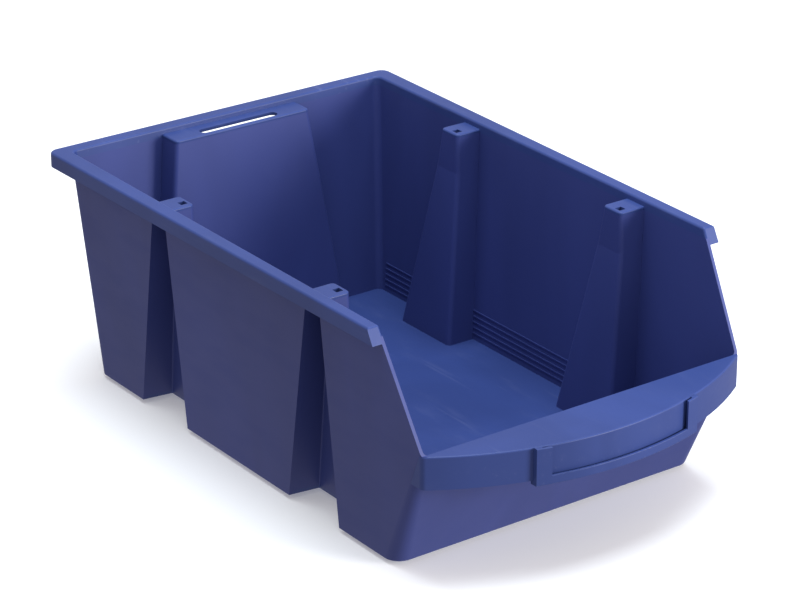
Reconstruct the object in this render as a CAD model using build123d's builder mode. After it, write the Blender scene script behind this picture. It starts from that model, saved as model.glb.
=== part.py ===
"""Open-front stackable storage bin, one polypropylene moulding in named regions.

Millimetres. +Z up, +Y to the rear, the open low front faces -Y, +X to the right.
The origin is on the standing surface, under the middle of the bin.
Every region is cut from the same drafted forms, so neighbours meet face to face.
"""

import os
from math import sqrt

from build123d import *

os.makedirs("parts", exist_ok=True)

# ---- Overall sizes
length = 493.0
rear_width = 310.0
front_width = 300.0
height = 181.0

# ---- Walls and draft
wall = 2.5
floor_thickness = 3.0
side_draft = 10.6
rear_draft = 17.8
rear_corner_radius = 8.0

# ---- Rim: a flange with a down-turned lip, closed at its front ends
flange_reach = 12.1
rear_flange_reach = 9.0
flange_thickness = 2.5
lip_depth = 11.2
lip_thickness = 2.2
rim_corner_radius = 8.0
rim_edge_radius = 1.8
rim_front_setback = 90.1

# ---- Low front, its outward lean and its shelf
front_height = 101.2
front_base_setback = 83.1
shelf_inner_setback = 46.2
shelf_thickness = 2.5
shelf_bulge = 42.0
shelf_corner_radius = 5.0
shelf_edge_radius = 1.2
front_base_radius = 12.0
front_top_radius = 5.0
front_return = 13.0
front_edge_blend = 9.0
apron_depth = 24.2
apron_thickness = 2.3

# ---- Label holder on the apron
label_proud = 3.5
label_gap = 1.8
label_half_window = 59.0
label_post_width = 11.0
label_post_foot = 5.0
label_drop = 3.2
label_bar_height = 6.6
label_edge_radius = 0.6
label_bar_foot = 2.2

# ---- Side channels, which stand inside as hollow ribs with stacking ledges
rear_channel_setback = 135.5
front_channel_setback = 163.7
channel_depth = 22.0
channel_base_depth = 23.8
channel_top_width = 15.0
channel_base_front = 14.6
channel_base_rear = 47.0
channel_mouth_taper = 3.5
knee_drop = 36.0
rib_corner_radius = 3.5
ledge_drop = 4.4
ledge_thickness = 2.5
ledge_edge_radius = 1.3

# ---- Rear recess, which stands inside as a boss with a grip slot in its ledge
recess_depth = 19.3
recess_top_half_width = 58.5
recess_base_half_width = 81.5
grip_slot_length = 70.0
grip_slot_width = 8.5
grip_slot_offset = 2.8
grip_ledge_radius = 1.5

# ---- Pegs under the base and the ledge holes that they drop into when stacked
peg_drop = 3.5
peg_size = 4.6
peg_clearance = 0.5
hole_inset = 5.6
stack_shift = 14.0

# ---- Fine ridges low on the inner side walls
ridge_count = 5
ridge_pitch = 4.6
ridge_height = 1.0
ridge_proud = 0.6
ridge_first = 5.0

# ---- Places worked out from the sizes above
rear_y = length / 2
front_y = -length / 2
base_z = peg_drop
floor_z = base_z + floor_thickness
ledge_z = height - ledge_drop
ledge_under_z = ledge_z - ledge_thickness
shelf_z = front_height
shelf_under_z = shelf_z - shelf_thickness
apron_base_z = shelf_z - apron_depth
label_base_z = apron_base_z - label_drop
hole_size = peg_size + 2 * peg_clearance

top_half_width = rear_width / 2 - flange_reach
base_half_width = top_half_width - side_draft
wall_rear_y = rear_y - rear_flange_reach
base_rear_y = wall_rear_y - rear_draft
base_front_y = front_y + front_base_setback
shelf_inner_y = front_y + shelf_inner_setback
front_lean = (base_front_y - shelf_inner_y + wall) / (shelf_z - base_z)
rim_front_y = front_y + rim_front_setback
arc_apex_y = front_y + label_proud

# The shelf's front edge is an arc through both shelf corners and its apex.
shelf_half_width = base_half_width + side_draft * (shelf_z - base_z) / (height - base_z)
arc_radius = (shelf_half_width**2 + shelf_bulge**2) / (2 * shelf_bulge)
arc_centre_y = arc_apex_y + arc_radius

far = 2 * length
sides = {"left": -1, "right": 1}
channels = {
    "rear": rear_y - rear_channel_setback,
    "front": front_y + front_channel_setback,
}


def rise(z):
    """How far up the walls a level is: 0 at the base, 1 at the rim's top."""
    return (z - base_z) / (height - base_z)


def half_width_at(z):
    return base_half_width + side_draft * rise(z)


def rear_at(z):
    return base_rear_y + rear_draft * rise(z)


def front_at(z):
    return base_front_y - front_lean * (z - base_z)


def basin_form(inset, low_z, high_z):
    """The bin's solid outer form between two levels, taken in by inset."""
    levels = (
        (low_z, front_base_radius),
        (shelf_z, front_top_radius),
        (high_z, front_top_radius),
    )
    with BuildPart() as form:
        for z, front_radius in levels:
            half_x = half_width_at(z) - inset
            rear, front = rear_at(z) - inset, front_at(z) + inset
            with BuildSketch(Plane.XY.offset(z)) as outline:
                Polygon(
                    (half_x, rear), (-half_x, rear), (-half_x, front), (half_x, front), align=None
                )
                corners = outline.vertices().group_by(Axis.Y)
                fillet(corners[0], max(front_radius - inset, 1.0))
                fillet(outline.vertices().group_by(Axis.Y)[-1], rear_corner_radius - inset)
        loft(ruled=True)
    return form.part


def drafted_prism(levels, inward, corner_radius):
    """A straight-sided solid through four-cornered outlines at rising levels.

    The two corners that lie furthest along the inward axis are rounded.
    """
    with BuildPart() as prism:
        for z, corners in levels:
            with BuildSketch(Plane.XY.offset(z)) as outline:
                Polygon(*corners, align=None)
                fillet(outline.vertices().group_by(inward)[-1], corner_radius)
        loft(ruled=True)
    return prism.part


def channel_form(side, centre_y, skin):
    """The tapered hollow of a side channel, grown by skin to give the rib around it."""
    top_z = ledge_under_z
    knee_z = height - knee_drop
    knee_x = half_width_at(top_z) - channel_depth - skin
    half_top = channel_top_width / 2
    levels = []
    for z, inner_x in (
        (base_z - 1, half_width_at(base_z - 1) - channel_base_depth - skin),
        (knee_z, knee_x),
        (top_z, knee_x),
    ):
        down = (top_z - z) / (top_z - base_z)
        front = centre_y - half_top + down * (half_top - channel_base_front) - skin
        rear = centre_y + half_top + down * (channel_base_rear - half_top) + skin
        mouth_x = half_width_at(z) + wall
        corners = [
            (side * mouth_x, front),
            (side * mouth_x, rear),
            (side * inner_x, rear - channel_mouth_taper * down),
            (side * inner_x, front),
        ]
        levels.append((z, corners))
    inward = Axis((0, 0, 0), (-side, 0, 0))
    return drafted_prism(levels, inward, rib_corner_radius - wall + skin)


def recess_form(skin):
    """The tapered hollow in the rear wall, grown by skin to give the boss around it."""
    levels = []
    for z in (base_z - 1, ledge_under_z):
        up = (z - base_z) / (ledge_under_z - base_z)
        half = recess_base_half_width + up * (recess_top_half_width - recess_base_half_width)
        half += skin
        face_y = rear_at(z) - recess_depth - skin
        back_y = rear_at(z) + wall
        levels.append((z, [(half, back_y), (-half, back_y), (-half, face_y), (half, face_y)]))
    return drafted_prism(levels, Axis((0, 0, 0), (0, -1, 0)), rib_corner_radius - wall + skin)


def slab(low_z, high_z, low_y=-far, high_y=far, low_x=-far, high_x=far):
    """A plain block between the given limits, used to cut the forms into regions."""
    with BuildPart() as block:
        with Locations(((low_x + high_x) / 2, (low_y + high_y) / 2, (low_z + high_z) / 2)):
            Box(high_x - low_x, high_y - low_y, high_z - low_z)
    return block.part


def write(name, builder):
    builder.part.label = name
    export_step(builder.part, f"parts/{name}.step")


# ---- Forms shared by the regions
outer_form = basin_form(0, base_z, height)
inner_form = basin_form(wall, base_z - 1, height + 1)
hollows = [channel_form(side, y, 0) for side in sides.values() for y in channels.values()]
hollows.append(recess_form(0))

# The side view: the walls step down from the rim to the low front.
with BuildPart() as side_view:
    with BuildSketch(Plane.YZ) as profile:
        Polygon(
            (rear_y + wall, base_z - 1),
            (rear_y + wall, height),
            (rim_front_y, height),
            (shelf_inner_y, shelf_z),
            (front_y - wall, shelf_z),
            (front_y - wall, base_z - 1),
            align=None,
        )
        fillet(profile.vertices().sort_by_distance((0, shelf_inner_y, shelf_z))[0], front_edge_blend)
    extrude(amount=far / 2, both=True)

# The thin walls all round, open at the channels and the rear recess.
with BuildPart() as walls:
    add(outer_form)
    add(inner_form, mode=Mode.SUBTRACT)
    add(side_view.part, mode=Mode.INTERSECT)
    for hollow in hollows:
        add(hollow, mode=Mode.SUBTRACT)

# Behind this leaning plane the side walls begin; in front of it lies the front wall.
lean_plane = Plane(
    origin=(0, base_front_y + front_return, base_z),
    x_dir=(1, 0, 0),
    z_dir=(0, 1, front_lean),
)
rear_split_y = base_rear_y - rear_corner_radius - 1

# ---- Floor, notched at the channels and the rear recess
with BuildPart() as floor_panel:
    add(inner_form)
    add(slab(base_z, floor_z), mode=Mode.INTERSECT)
    for hollow in hollows:
        add(hollow, mode=Mode.SUBTRACT)
write("floor_panel", floor_panel)

# ---- Low front wall, with short returns round both corners
with BuildPart() as front_wall:
    add(walls.part)
    add(slab(base_z, shelf_under_z), mode=Mode.INTERSECT)
    split(bisect_by=lean_plane, keep=Keep.BOTTOM)
write("front_wall", front_wall)


# ---- Shelf along the low front, bowed outwards, with its down-turned apron
def shelf_form(inset, low_z, high_z, back_y):
    """A plate under the shelf's outline, taken in by inset, reaching back to back_y."""
    half = shelf_half_width - inset
    radius = arc_radius - inset
    end_y = arc_centre_y - sqrt(radius**2 - half**2)
    with BuildPart() as plate:
        with BuildSketch(Plane.XY.offset(low_z)) as outline:
            with BuildLine():
                ThreePointArc((-half, end_y), (0, arc_centre_y - radius), (half, end_y))
                Polyline((half, end_y), (half, back_y), (-half, back_y), (-half, end_y))
            make_face()
            fillet(outline.vertices().group_by(Axis.Y)[0], shelf_corner_radius - inset)
        extrude(amount=high_z - low_z)
    return plate.part


with BuildPart() as front_shelf:
    add(shelf_form(0, shelf_under_z, shelf_z, shelf_inner_y + wall))
    add(inner_form, mode=Mode.SUBTRACT)
    bow_edges = front_shelf.faces().sort_by(Axis.Z)[-1].edges().filter_by(GeomType.CIRCLE)
    fillet(bow_edges.sort_by(SortBy.RADIUS)[-1], shelf_edge_radius)
write("front_shelf", front_shelf)

with BuildPart() as apron:
    add(shelf_form(0, label_base_z, shelf_under_z, base_front_y))
    add(shelf_form(apron_thickness, label_base_z - 1, shelf_under_z, base_front_y + 1), mode=Mode.SUBTRACT)
    add(outer_form, mode=Mode.SUBTRACT)
    split(bisect_by=lean_plane.offset(front_top_radius - front_return), keep=Keep.BOTTOM)

label_outer_x = label_half_window + label_post_width
with BuildPart() as label_panel:
    add(apron.part)
    add(slab(0, height, low_x=-label_outer_x, high_x=label_outer_x), mode=Mode.INTERSECT)
write("label_panel", label_panel)

for name, side in sides.items():
    edges = sorted((side * label_outer_x, side * far))
    with BuildPart() as apron_end:
        add(apron.part)
        add(slab(apron_base_z, height, low_x=edges[0], high_x=edges[1]), mode=Mode.INTERSECT)
    write(f"{name}_apron", apron_end)


# ---- Label holder: two posts and a bar, hooked forward to leave a card gap
def label_sector(start, end, low_x, high_x, low_z, high_z):
    """A curved bar in front of the apron, from start to end proud of it."""
    with BuildPart() as sector:
        with BuildSketch(Plane.XY.offset(low_z)):
            with Locations((0, arc_centre_y)):
                Circle(arc_radius + end)
                Circle(arc_radius + start, mode=Mode.SUBTRACT)
            with Locations(((low_x + high_x) / 2, arc_centre_y - arc_radius)):
                Rectangle(high_x - low_x, arc_radius, mode=Mode.INTERSECT)
        extrude(amount=high_z - low_z)
    return sector.part


def front_edges(builder):
    """The two long edges of a label piece's curved front face."""
    front_face = builder.faces().filter_by(GeomType.CYLINDER).sort_by(SortBy.RADIUS)[-1]
    return front_face.edges().filter_by(GeomType.CIRCLE)


with BuildPart() as label_bar:
    limits = (-label_half_window, label_half_window)
    add(label_sector(label_gap, label_proud, *limits, label_base_z, label_base_z + label_bar_height))
    add(label_sector(0, label_gap, *limits, label_base_z, label_base_z + label_bar_foot))
    fillet(front_edges(label_bar), label_edge_radius)
write("label_bar", label_bar)

foot_x = label_outer_x - label_post_foot
for name, side in sides.items():
    hook = sorted((side * label_half_window, side * label_outer_x))
    foot = sorted((side * foot_x, side * label_outer_x))
    toe = sorted((side * label_half_window, side * foot_x))
    with BuildPart() as post:
        add(label_sector(label_gap, label_proud, *hook, label_base_z, shelf_z))
        add(label_sector(0, label_gap, *foot, label_base_z, shelf_z))
        add(label_sector(0, label_gap, *toe, label_base_z, label_base_z + label_bar_foot))
        fillet(front_edges(post), label_edge_radius)
    write(f"{name}_label_post", post)

# ---- Side walls, each in three bays parted at the channels
bays = {
    "rear": (channels["rear"], rear_split_y),
    "middle": (channels["front"], channels["rear"]),
    "front": (-far, channels["front"]),
}
for name, side in sides.items():
    half_space = sorted((0, side * far))
    for bay, (low_y, high_y) in bays.items():
        with BuildPart() as side_wall:
            add(walls.part)
            add(slab(base_z, ledge_under_z, low_y, high_y, *half_space), mode=Mode.INTERSECT)
            if bay == "front":
                add(front_wall.part, mode=Mode.SUBTRACT)
                add(front_shelf.part, mode=Mode.SUBTRACT)
        write(f"{name}_wall_{bay}", side_wall)

# ---- Hollow ribs inside the channels, each closed by a ledge with a peg hole
ledge_inner_x = half_width_at(ledge_under_z) - channel_depth - wall
hole_x = ledge_inner_x + hole_inset
ledge_half_length = channel_top_width / 2 + wall
peg_y = {place: y - channel_base_front - peg_size / 2 for place, y in channels.items()}


def free_edges(builder, hole_centre_x, hole_centre_y):
    """A ledge's top edges, without those of its hole and the one on the wall."""
    wall_x = half_width_at(ledge_z) - 2 * wall
    hole_reach = hole_size / 2 + peg_clearance

    def is_free(edge):
        spot = edge.center()
        off_x, off_y = abs(spot.X - hole_centre_x), abs(spot.Y - hole_centre_y)
        return abs(spot.X) < wall_x and max(off_x, off_y) > hole_reach

    return builder.faces().sort_by(Axis.Z)[-1].edges().filter_by(is_free)


for name, side in sides.items():
    for place, centre_y in channels.items():
        hole_y = peg_y[place] + stack_shift
        with BuildPart() as rib:
            add(channel_form(side, centre_y, wall))
            add(channel_form(side, centre_y, 0), mode=Mode.SUBTRACT)
            add(inner_form, mode=Mode.INTERSECT)
            add(slab(floor_z, ledge_under_z), mode=Mode.INTERSECT)
        write(f"{name}_{place}_rib", rib)

        edges = sorted((side * ledge_inner_x, side * top_half_width))
        with BuildPart() as ledge:
            with BuildSketch(Plane.XY.offset(ledge_under_z)) as outline:
                with Locations((sum(edges) / 2, centre_y)):
                    Rectangle(edges[1] - edges[0], 2 * ledge_half_length)
                inner_corners = outline.vertices().sort_by_distance((0, centre_y, ledge_under_z))[:2]
                fillet(inner_corners, rib_corner_radius)
                with Locations((side * hole_x, hole_y)):
                    Rectangle(hole_size, hole_size, mode=Mode.SUBTRACT)
            extrude(amount=ledge_thickness)
            add(inner_form, mode=Mode.INTERSECT)
            fillet(free_edges(ledge, side * hole_x, hole_y), ledge_edge_radius)
        write(f"{name}_{place}_ledge", ledge)

# ---- Rear wall on both sides of the recess, with its rounded corners
for name, side in sides.items():
    with BuildPart() as rear_wall:
        add(walls.part)
        add(slab(base_z, ledge_under_z, rear_split_y, far, *sorted((0, side * far))), mode=Mode.INTERSECT)
    write(f"rear_wall_{name}", rear_wall)

# ---- Boss inside the rear recess, closed by the ledge with the grip slot
with BuildPart() as rear_boss:
    add(recess_form(wall))
    add(recess_form(0), mode=Mode.SUBTRACT)
    add(inner_form, mode=Mode.INTERSECT)
    add(slab(floor_z, ledge_under_z), mode=Mode.INTERSECT)
write("rear_boss", rear_boss)

grip_front_y = rear_at(ledge_under_z) - recess_depth - wall
grip_back_y = rear_at(ledge_under_z) - wall
with BuildPart() as grip_ledge:
    with BuildSketch(Plane.XY.offset(ledge_under_z)) as outline:
        with Locations((0, (grip_front_y + wall_rear_y) / 2)):
            Rectangle(2 * (recess_top_half_width + wall), wall_rear_y - grip_front_y)
        fillet(outline.vertices().group_by(Axis.Y)[0], rib_corner_radius)
        with Locations((0, (grip_front_y + grip_back_y) / 2 - grip_slot_offset)):
            SlotOverall(grip_slot_length, grip_slot_width, mode=Mode.SUBTRACT)
    extrude(amount=ledge_thickness)
    add(inner_form, mode=Mode.INTERSECT)
    top_edges = grip_ledge.faces().sort_by(Axis.Z)[-1].edges()
    fillet(top_edges.group_by(Axis.Y)[0], grip_ledge_radius)
write("grip_ledge", grip_ledge)


# ---- Rim round the sides and rear, made whole and then parted
def rim_form(inset, low_z, high_z):
    """A block under the rim's outline, taken in by inset, ending on the sloped side edge."""
    end_y = rim_front_y - lip_depth
    slope = (rear_width - front_width) / 2 / (rear_y - rim_front_y)
    rear_half = rear_width / 2 - slope * inset - inset
    end_half = front_width / 2 - slope * lip_depth - inset
    end_plane = Plane(
        origin=(0, rim_front_y + inset, height),
        x_dir=(1, 0, 0),
        z_dir=(0, height - shelf_z, shelf_inner_y - rim_front_y),
    )
    with BuildPart() as block:
        with BuildSketch(Plane.XY.offset(low_z)) as outline:
            Polygon(
                (rear_half, rear_y - inset),
                (-rear_half, rear_y - inset),
                (-end_half, end_y),
                (end_half, end_y),
                align=None,
            )
            fillet(outline.vertices().group_by(Axis.Y)[-1], rim_corner_radius - inset)
        extrude(amount=high_z - low_z)
        split(bisect_by=end_plane, keep=Keep.TOP)
    return block.part


with BuildPart() as rim_hollow:
    add(rim_form(lip_thickness, height - lip_depth - 1, height - flange_thickness))
    add(outer_form, mode=Mode.SUBTRACT)

with BuildPart() as below_rim:
    add(outer_form)
    add(slab(0, ledge_under_z), mode=Mode.INTERSECT)

with BuildPart() as rim:
    add(rim_form(0, height - lip_depth, height))
    fillet(rim.faces().sort_by(Axis.Z)[-1].edges(), rim_edge_radius)
    add(rim_hollow.part, mode=Mode.SUBTRACT)
    add(inner_form, mode=Mode.SUBTRACT)
    add(below_rim.part, mode=Mode.SUBTRACT)
    mouth_edges = rim.faces().sort_by(Axis.Z)[-1].edges().filter_by(
        lambda edge: abs(edge.center().X) < top_half_width - wall / 2
        and edge.center().Y < wall_rear_y - wall / 2
        and edge.center().Y > rim_front_y + wall
    )
    fillet(mouth_edges, rim_edge_radius)

for name, side in sides.items():
    with BuildPart() as side_rim:
        add(rim.part)
        add(slab(0, far, -far, rear_split_y, *sorted((0, side * far))), mode=Mode.INTERSECT)
    write(f"{name}_rim", side_rim)
with BuildPart() as rear_rim:
    add(rim.part)
    add(slab(0, far, rear_split_y, far), mode=Mode.INTERSECT)
write("rear_rim", rear_rim)

# ---- Pegs under the rear corners of the middle and front bays, flush with the channels
with BuildPart() as stacking_pegs:
    for side in sides.values():
        for centre_y in peg_y.values():
            with Locations((side * hole_x, centre_y, base_z / 2)):
                Box(peg_size, peg_size, base_z)
    chamfer(stacking_pegs.faces().group_by(Axis.Z)[0].edges(), peg_clearance)
write("stacking_pegs", stacking_pegs)

# ---- Fine ridges low on the inner side walls
ridge_core = basin_form(wall + ridge_proud, base_z, height)
for name, side in sides.items():
    with BuildPart() as ridges:
        for index in range(ridge_count):
            low_z = floor_z + ridge_first + index * ridge_pitch
            limits = (channels["front"], rear_split_y, *sorted((side * base_half_width / 2, side * far)))
            add(slab(low_z, low_z + ridge_height, *limits))
        add(inner_form, mode=Mode.INTERSECT)
        add(ridge_core, mode=Mode.SUBTRACT)
        for centre_y in channels.values():
            add(channel_form(side, centre_y, wall), mode=Mode.SUBTRACT)
    write(f"{name}_wall_ridges", ridges)
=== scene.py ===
from math import cos, radians, sin

import bpy
from bpy.props import FloatProperty, FloatVectorProperty, PointerProperty
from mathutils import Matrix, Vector


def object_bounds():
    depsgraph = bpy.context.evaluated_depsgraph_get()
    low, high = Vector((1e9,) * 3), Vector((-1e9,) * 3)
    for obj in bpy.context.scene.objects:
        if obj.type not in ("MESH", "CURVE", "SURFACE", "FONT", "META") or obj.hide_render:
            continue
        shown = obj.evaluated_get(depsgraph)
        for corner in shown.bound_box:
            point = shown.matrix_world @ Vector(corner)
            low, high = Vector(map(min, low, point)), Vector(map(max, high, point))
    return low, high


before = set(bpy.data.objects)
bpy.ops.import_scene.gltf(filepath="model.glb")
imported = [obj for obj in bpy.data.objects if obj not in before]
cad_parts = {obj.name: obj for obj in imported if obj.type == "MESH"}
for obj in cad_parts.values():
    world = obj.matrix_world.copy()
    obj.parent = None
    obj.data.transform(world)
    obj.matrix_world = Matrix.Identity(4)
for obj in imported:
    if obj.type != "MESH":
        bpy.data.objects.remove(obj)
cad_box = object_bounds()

bl_info = {
    "name": "Stackable Bin Looks",
    "version": (1, 0, 0),
    "blender": (4, 5, 0),
    "location": "View3D > Sidebar > Bin",
    "description": "Moulded plastic finishes, studio and camera for an open-front stackable bin",
    "category": "Material",
}

LOW, HIGH = (Vector(corner) for corner in cad_box)
MIDDLE = (LOW + HIGH) / 2

# Sizes of the surface's marks, in metres, and how they are drawn out by axis.
FLOW_SIZE = 0.11
FLOW_STRETCH = (1.0, 1.0, 0.35)
SMEAR_SIZE = 0.012
SMEAR_STRETCH = (1.0, 0.25, 1.0)
SCRATCH_SIZE = 0.004
SCRATCH_STRETCH = (1.0, 0.04, 1.0)
WARP_SIZE = 0.05
WARP_DEPTH = 0.0001
CHALK = Vector((0.07, 0.075, 0.11))

FLOOR_REACH = 12.0
FLOOR_GAP = 0.0002
FAR_CLIP = 50.0

RIM_NODES = ("left_rim", "right_rim", "rear_rim")
LEDGE_NODES = (
    "left_rear_ledge", "left_front_ledge", "right_rear_ledge", "right_front_ledge", "grip_ledge",
)
FRONT_NODES = (
    "front_shelf", "left_apron", "right_apron", "label_panel",
    "label_bar", "left_label_post", "right_label_post",
)
BASE_NODES = ("floor_panel", "stacking_pegs")


# ---------------------------------------------------------------- shader maths
class Field:
    """A shader value that Python's operators work on: each one adds a Math node."""

    def __init__(self, tree, socket):
        self.tree = tree
        self.socket = socket

    def _math(self, operation, *values):
        node = self.tree.new("ShaderNodeMath", {"operation": operation})
        for target, value in zip(node.inputs, values):
            self.tree.feed(target, value)
        return Field(self.tree, node.outputs[0])

    def __add__(self, other):
        return self._math("ADD", self, other)

    def __radd__(self, other):
        return self._math("ADD", other, self)

    def __sub__(self, other):
        return self._math("SUBTRACT", self, other)

    def __rsub__(self, other):
        return self._math("SUBTRACT", other, self)

    def __mul__(self, other):
        return self._math("MULTIPLY", self, other)

    def __rmul__(self, other):
        return self._math("MULTIPLY", other, self)

    def clamped(self):
        """The value kept between 0 and 1."""
        node = self.tree.new("ShaderNodeClamp", {}, {"Value": self})
        return Field(self.tree, node.outputs[0])

    def ramp(self, low, high):
        """0 below low, 1 above high, smooth between."""
        node = self.tree.new(
            "ShaderNodeMapRange",
            {"interpolation_type": "SMOOTHSTEP"},
            {"Value": self, "From Min": low, "From Max": high},
        )
        return Field(self.tree, node.outputs[0])


class Tree:
    """Builds one material's nodes."""

    def __init__(self, name):
        self.material = bpy.data.materials.new(name)
        self.material.use_nodes = True
        self.nodes = self.material.node_tree.nodes
        self.links = self.material.node_tree.links
        self.nodes.clear()

    def new(self, kind, settings=None, inputs=None):
        """A node of that type, its settings made first, then its sockets filled."""
        node = self.nodes.new(kind)
        for name, value in (settings or {}).items():
            setattr(node, name, value)
        for name, value in (inputs or {}).items():
            self.feed(node.inputs[name], value)
        return node

    def feed(self, target, value):
        if isinstance(value, Field):
            self.links.new(value.socket, target)
        elif isinstance(value, bpy.types.NodeSocket):
            self.links.new(value, target)
        else:
            target.default_value = value

    def field(self, kind, settings=None, inputs=None, output=0):
        return Field(self, self.new(kind, settings, inputs).outputs[output])

    def place(self, stretch=(1.0, 1.0, 1.0)):
        """Object coordinates, which are the bin's own metres, stretched by axis."""
        coordinates = self.new("ShaderNodeTexCoord").outputs["Object"]
        return self.new(
            "ShaderNodeVectorMath", {"operation": "MULTIPLY"}, {0: coordinates, 1: stretch}
        ).outputs[0]

    def noise(self, size, detail=2.0, stretch=(1.0, 1.0, 1.0), distortion=0.0):
        """Noise with features of about that size, in metres."""
        inputs = {
            "Vector": self.place(stretch),
            "Scale": 1 / size,
            "Detail": detail,
            "Distortion": distortion,
        }
        return self.field("ShaderNodeTexNoise", {}, inputs, "Fac")

    def blend(self, factor, first, second):
        """A colour between two, by a field."""
        node = self.new("ShaderNodeMix", {"data_type": "RGBA"})
        for index, value in ((0, factor), (6, first), (7, second)):
            self.feed(node.inputs[index], value)
        return node.outputs[2]

    def bump(self, height, depth, normal=None):
        """A normal from a height field whose full range is depth metres."""
        inputs = {"Height": height, "Distance": depth}
        if normal is not None:
            inputs["Normal"] = normal
        return self.new("ShaderNodeBump", {}, inputs).outputs[0]

    def finish(self, shader_inputs):
        shader = self.new("ShaderNodeBsdfPrincipled", {}, shader_inputs)
        output = self.new("ShaderNodeOutputMaterial")
        self.links.new(shader.outputs[0], output.inputs[0])
        return self.material


# ---------------------------------------------------------------- settings
class BinFinishSettings(bpy.types.PropertyGroup):
    # The two plastic colours are copies of one plastic. The redder copy on the walls and the bluer
    # copy on the rim, ledges, front and base are painted light: they stand in for how the light falls
    # on those faces.
    plastic: FloatVectorProperty(
        name="Plastic", description="Colour of the moulded plastic", subtype="COLOR",
        size=3, min=0.0, max=1.0, default=(0.035, 0.050, 0.190),
    )
    # Painted light, not a smoother mould: the bluer copy of the plastic colour, for the rim, ledges,
    # front and base.
    painted_light_plastic: FloatVectorProperty(
        name="Smooth plastic", description="Colour of the plastic where the mould is smoother",
        subtype="COLOR", size=3, min=0.0, max=1.0, default=(0.030, 0.052, 0.188),
    )
    grain_size: FloatProperty(
        name="Grain", description="Size of the mould's fine grain", unit="LENGTH", default=0.0006
    )
    grain_depth: FloatProperty(
        name="Grain depth", description="Depth of the mould's fine grain",
        unit="LENGTH", default=0.00002,
    )
    roughness: FloatProperty(
        name="Roughness", description="How matt the plastic is",
        subtype="FACTOR", min=0, max=1, default=0.42,
    )


class BinStageSettings(bpy.types.PropertyGroup):
    azimuth: FloatProperty(
        name="Azimuth", description="Side the camera looks from",
        unit="ROTATION", default=radians(-36.14),
    )
    elevation: FloatProperty(
        name="Elevation", description="How far the camera looks down",
        unit="ROTATION", default=radians(23.74),
    )
    distance: FloatProperty(
        name="Distance", description="From the camera to its target", unit="LENGTH", default=2.3538
    )
    lens: FloatProperty(name="Lens", description="Focal length in millimetres", default=144.43)
    target: FloatVectorProperty(
        name="Target", description="Point the camera looks at", subtype="TRANSLATION",
        size=3, default=(0.0114, 0.0279, 0.0939),
    )
    key_power: FloatProperty(
        name="Key", description="Power of the overhead softbox, in watts", default=56.0
    )
    front_power: FloatProperty(
        name="Front", description="Power of the softbox ahead and to the right, in watts", default=74.0
    )
    fill: FloatProperty(
        name="Fill", description="Strength of the surrounding pale light", default=0.60
    )


# ---------------------------------------------------------------- finishes
def moulded_plastic(name, settings, colour, grain=1.0, shine=0.0, scuff=0.0):
    """Injection-moulded polypropylene: fine grain, faint flow marks and light handling scuffs."""
    tree = Tree(name)
    flow = tree.noise(FLOW_SIZE, 3.0, FLOW_STRETCH, 0.6)
    speckle = tree.noise(settings.grain_size, 2.0)
    smear = tree.noise(SMEAR_SIZE, 4.0, SMEAR_STRETCH)
    scratch = tree.noise(SCRATCH_SIZE, 6.0, SCRATCH_STRETCH).ramp(0.62, 0.74) * scuff

    base = Vector(colour)
    deep = (*(base * 0.90), 1.0)
    light = (*(base * 1.10), 1.0)
    chalky = (*(base * 0.80 + CHALK), 1.0)
    tint = tree.blend(flow.ramp(0.3, 0.7), deep, light)
    worn = (scratch * 0.5 + smear.ramp(0.55, 0.8) * scuff * 0.25).clamped()
    tint = tree.blend(worn, tint, chalky)

    rough = settings.roughness - shine + flow * 0.05
    rough = rough + smear.ramp(0.4, 0.7) * 0.05 + scratch * 0.1
    normal = tree.bump(speckle, settings.grain_depth * grain)
    normal = tree.bump(tree.noise(WARP_SIZE, 1.0), WARP_DEPTH, normal)
    return tree.finish(
        {
            "Base Color": tint,
            "Roughness": rough.clamped(),
            "Normal": normal,
            "Specular IOR Level": 0.22,
            "IOR": 1.49,
        }
    )


def assign(names, material):
    for name in names:
        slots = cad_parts[name].data.materials
        slots.clear()
        slots.append(material)


# ---------------------------------------------------------------- operators
class BIN_OT_walls(bpy.types.Operator):
    """Give the walls, ribs and boss their moulded grain"""

    bl_idname = "bin.walls"
    bl_label = "Finish Walls"

    def execute(self, context):
        settings = context.scene.bin_finish
        others = {*RIM_NODES, *LEDGE_NODES, *FRONT_NODES, *BASE_NODES}
        names = [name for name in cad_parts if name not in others]
        # The walls take the redder copy of the plastic colour. Its hue gap to the other parts is
        # painted light.
        assign(names, moulded_plastic("grained_wall_plastic", settings, settings.plastic))
        return {"FINISHED"}


class BIN_OT_rim(bpy.types.Operator):
    """Give the rim and the stacking ledges their smoother, scuffed finish"""

    bl_idname = "bin.rim"
    bl_label = "Finish Rim and Ledges"

    def execute(self, context):
        settings = context.scene.bin_finish
        # The rim and ledges take the bluer copy of the plastic colour, which is painted light.
        finish = moulded_plastic(
            "scuffed_rim_plastic", settings, settings.painted_light_plastic, grain=0.7, shine=0.04, scuff=0.6
        )
        assign(RIM_NODES + LEDGE_NODES, finish)
        return {"FINISHED"}


class BIN_OT_front(bpy.types.Operator):
    """Give the shelf, apron and label holder their finish"""

    bl_idname = "bin.front"
    bl_label = "Finish Front"

    def execute(self, context):
        settings = context.scene.bin_finish
        # The shelf, apron and label holder take the bluer copy of the plastic colour, which is painted
        # light.
        finish = moulded_plastic(
            "smooth_front_plastic", settings, settings.painted_light_plastic, grain=0.8, shine=0.05, scuff=0.3
        )
        assign(FRONT_NODES, finish)
        return {"FINISHED"}


class BIN_OT_base(bpy.types.Operator):
    """Give the floor and pegs their polished, used finish"""

    bl_idname = "bin.base"
    bl_label = "Finish Base"

    def execute(self, context):
        settings = context.scene.bin_finish
        # The floor and pegs take the bluer copy of the plastic colour, which is painted light.
        finish = moulded_plastic(
            "worn_base_plastic", settings, settings.painted_light_plastic, grain=0.6, shine=0.06, scuff=0.5
        )
        assign(BASE_NODES, finish)
        return {"FINISHED"}


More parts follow.
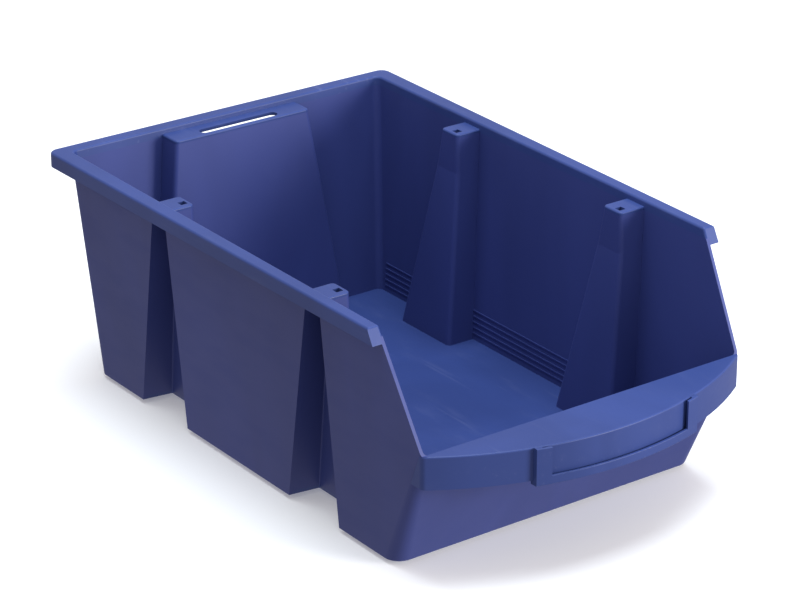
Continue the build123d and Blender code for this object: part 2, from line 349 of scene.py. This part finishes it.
class BIN_OT_stage(bpy.types.Operator):
    """Set the pale floor, the soft studio light and the camera"""

    bl_idname = "bin.stage"
    bl_label = "Set Stage"

    def execute(self, context):
        scene = context.scene
        settings = scene.bin_stage
        pale = Tree("pale_studio_floor")
        floor_shader = {
            "Base Color": (0.80, 0.80, 0.81, 1.0),
            "Roughness": 0.85,
            "Emission Color": (1.0, 1.0, 1.0, 1.0),
            "Emission Strength": 0.22,
        }
        floor_material = pale.finish(floor_shader)

        mesh = bpy.data.meshes.new("studio_floor")
        signs = ((-1, -1), (1, -1), (1, 1), (-1, 1))
        corners = [(x * FLOOR_REACH, y * FLOOR_REACH, LOW.z - FLOOR_GAP) for x, y in signs]
        mesh.from_pydata(corners, [], [(0, 1, 2, 3)])
        mesh.materials.append(floor_material)
        floor = bpy.data.objects.new("studio_floor", mesh)
        floor.visible_diffuse = False
        floor.visible_glossy = False
        scene.collection.objects.link(floor)

        world = bpy.data.worlds.new("studio_surround")
        world.use_nodes = True
        backdrop = world.node_tree.nodes["Background"]
        backdrop.inputs["Color"].default_value = (1.0, 0.94, 0.96, 1.0)
        backdrop.inputs["Strength"].default_value = settings.fill
        scene.world = world

        overhead = ("overhead_softbox", (0.0, -0.1, 2.1), 1.4, settings.key_power, (0.84, 0.94, 1.0))
        ahead = ("front_softbox", (1.3, -2.2, 0.6), 1.0, settings.front_power, (1.0, 0.97, 0.95))
        for box in (overhead, ahead):
            self.softbox(scene, *box)

        direction = Vector(
            (
                sin(settings.azimuth) * cos(settings.elevation),
                -cos(settings.azimuth) * cos(settings.elevation),
                sin(settings.elevation),
            )
        )
        target = Vector(settings.target)
        data = bpy.data.cameras.new("view_camera")
        data.lens = settings.lens
        data.clip_end = FAR_CLIP
        camera = bpy.data.objects.new("view_camera", data)
        camera.location = target + direction * settings.distance
        camera.rotation_euler = direction.to_track_quat("Z", "Y").to_euler()
        scene.collection.objects.link(camera)
        scene.camera = camera
        scene.view_settings.view_transform = "Standard"
        return {"FINISHED"}

    def softbox(self, scene, name, place, size, power, colour):
        data = bpy.data.lights.new(name, "AREA")
        data.size = size
        data.energy = power
        data.color = colour
        light = bpy.data.objects.new(name, data)
        light.location = place
        light.rotation_euler = (Vector(place) - MIDDLE).to_track_quat("Z", "Y").to_euler()
        scene.collection.objects.link(light)


class BIN_PT_looks(bpy.types.Panel):
    """The bin's finishes and stage"""

    bl_label = "Bin Looks"
    bl_idname = "BIN_PT_looks"
    bl_space_type = "VIEW_3D"
    bl_region_type = "UI"
    bl_category = "Bin"

    def draw(self, context):
        layout = self.layout
        for operator in OPERATORS:
            layout.operator(operator.bl_idname)
        for group in (context.scene.bin_finish, context.scene.bin_stage):
            column = layout.column()
            for name in group.__annotations__:
                column.prop(group, name)


OPERATORS = (BIN_OT_walls, BIN_OT_rim, BIN_OT_front, BIN_OT_base, BIN_OT_stage)
CLASSES = (BinFinishSettings, BinStageSettings, *OPERATORS, BIN_PT_looks)


def register():
    for cls in CLASSES:
        bpy.utils.register_class(cls)
    bpy.types.Scene.bin_finish = PointerProperty(type=BinFinishSettings)
    bpy.types.Scene.bin_stage = PointerProperty(type=BinStageSettings)


def unregister():
    del bpy.types.Scene.bin_stage
    del bpy.types.Scene.bin_finish
    for cls in reversed(CLASSES):
        bpy.utils.unregister_class(cls)


def main():
    register()
    bpy.ops.bin.stage()
    bpy.ops.bin.walls()
    bpy.ops.bin.rim()
    bpy.ops.bin.front()
    bpy.ops.bin.base()


if __name__ == "__main__":
    main()
